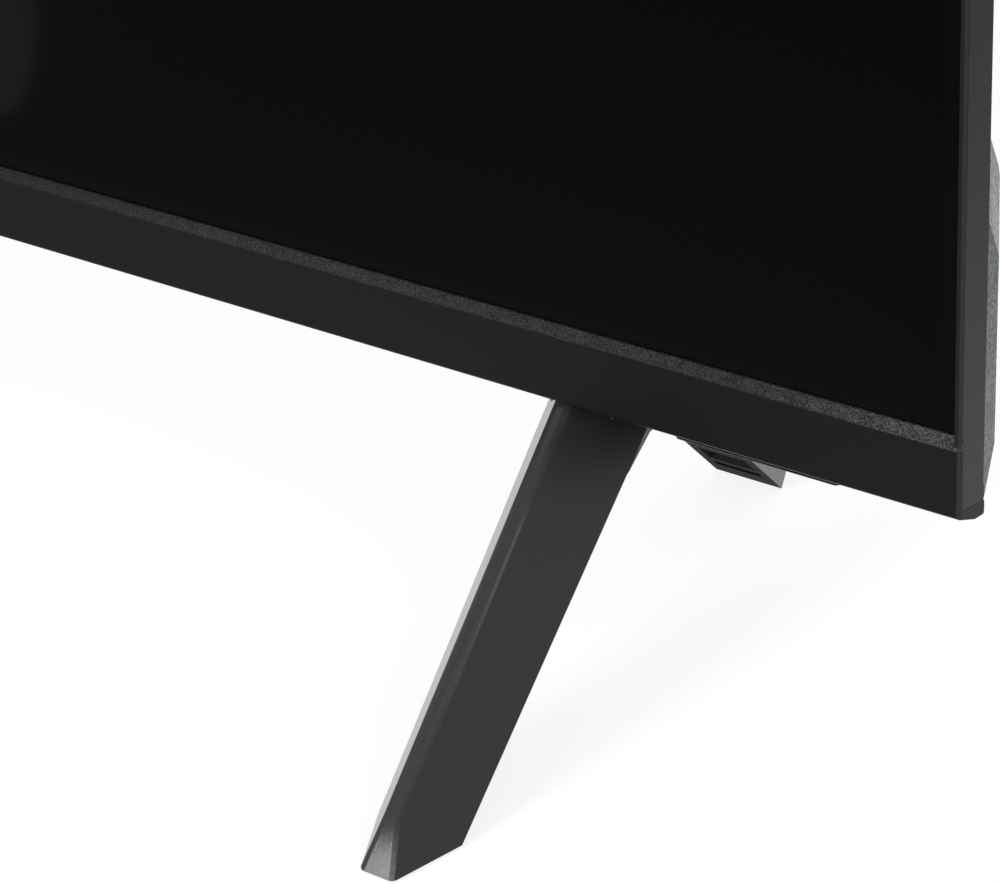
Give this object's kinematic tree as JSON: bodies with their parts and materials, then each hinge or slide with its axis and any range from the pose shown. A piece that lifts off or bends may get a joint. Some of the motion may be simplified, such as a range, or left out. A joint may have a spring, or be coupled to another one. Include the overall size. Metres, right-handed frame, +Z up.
{
  "type": "flat screen television",
  "caption": "Slim flat screen television on splayed feet, with a thin frame, a sloping lower bezel, a humped rear cover with plug bays, a wall mount pattern and a power button underneath.",
  "frame": {"origin": "floor level, midway between the sides and between the front and rear toes", "axes": "+X to the viewer's right, +Y to the rear (the screen faces -Y), +Z up"},
  "size_m": [0.722, 0.1594, 0.495],
  "materials": {
    "bezel_plastic": "fine grained, satin",
    "frame_metal": "satin dark grey paint",
    "screen": "semi-gloss black panel",
    "circuit_board": "green solder mask",
    "flex": "amber film",
    "ribbon": "white ribbon cable",
    "inner_plastic": "plain moulded",
    "optical_sheet": "white translucent film",
    "reflector": "white diffuse",
    "light_bar": "white coated",
    "lens": "clear moulded",
    "tray_steel": "zinc coated sheet",
    "socket_metal": "nickel plated",
    "black_plastic": "plain moulded",
    "sink": "extruded",
    "winding": "yellow tape",
    "can": "sleeved can",
    "screw_steel": "zinc plated",
    "dark_screw": "black coated",
    "cone_paper": "pressed fibre",
    "sleeve_metal": "plated",
    "cover_plastic": "coarse grained",
    "foot_plastic": "fine grained, satin",
    "pad_rubber": "soft matt",
    "sensor_red": "dark red window"
  },
  "bodies": {
    "set": {"bottom_bezel": "bezel_plastic", "top_frame": "frame_metal", "left_frame": "frame_metal", "right_frame": "frame_metal", "lcd_panel": "screen", "driver_board": "circuit_board", "driver_tabs": "flex", "middle_frame": "inner_plastic", "prism_film": "optical_sheet", "diffuser_film": "optical_sheet", "diffuser_plate": "optical_sheet", "reflector_sheet": "reflector", "light_bars": "light_bar", "light_lenses": "lens", "diffuser_posts": "reflector", "back_tray": "tray_steel", "main_board": "circuit_board", "power_board": "circuit_board", "panel_ribbon": "ribbon", "hdmi_sockets": "socket_metal", "usb_socket": "socket_metal", "network_socket": "socket_metal", "antenna_socket": "socket_metal", "audio_jacks": "black_plastic", "heat_sink": "sink", "transformer": "winding", "capacitors": "can", "power_inlet": "black_plastic", "board_screws": "screw_steel", "left_speaker": "inner_plastic", "right_speaker": "inner_plastic", "speaker_cones": "cone_paper", "vesa_sleeves": "sleeve_metal", "rear_cover": "cover_plastic", "cover_screws": "dark_screw", "left_foot_bracket": "tray_steel", "right_foot_bracket": "tray_steel", "left_foot": "foot_plastic", "right_foot": "foot_plastic", "foot_screws": "screw_steel", "foot_pads": "pad_rubber", "sensor_pod": "bezel_plastic", "sensor_lens": "sensor_red", "key_board": "circuit_board"},
    "button": {"power_button": "black_plastic"}
  },
  "joints": [
    {"name": "power_press", "type": "slide", "parent": "set", "child": "button", "axis": [0, 0, 1], "range_m": [0, 0.0006], "stiffness_N_per_m": 400}
  ]
}
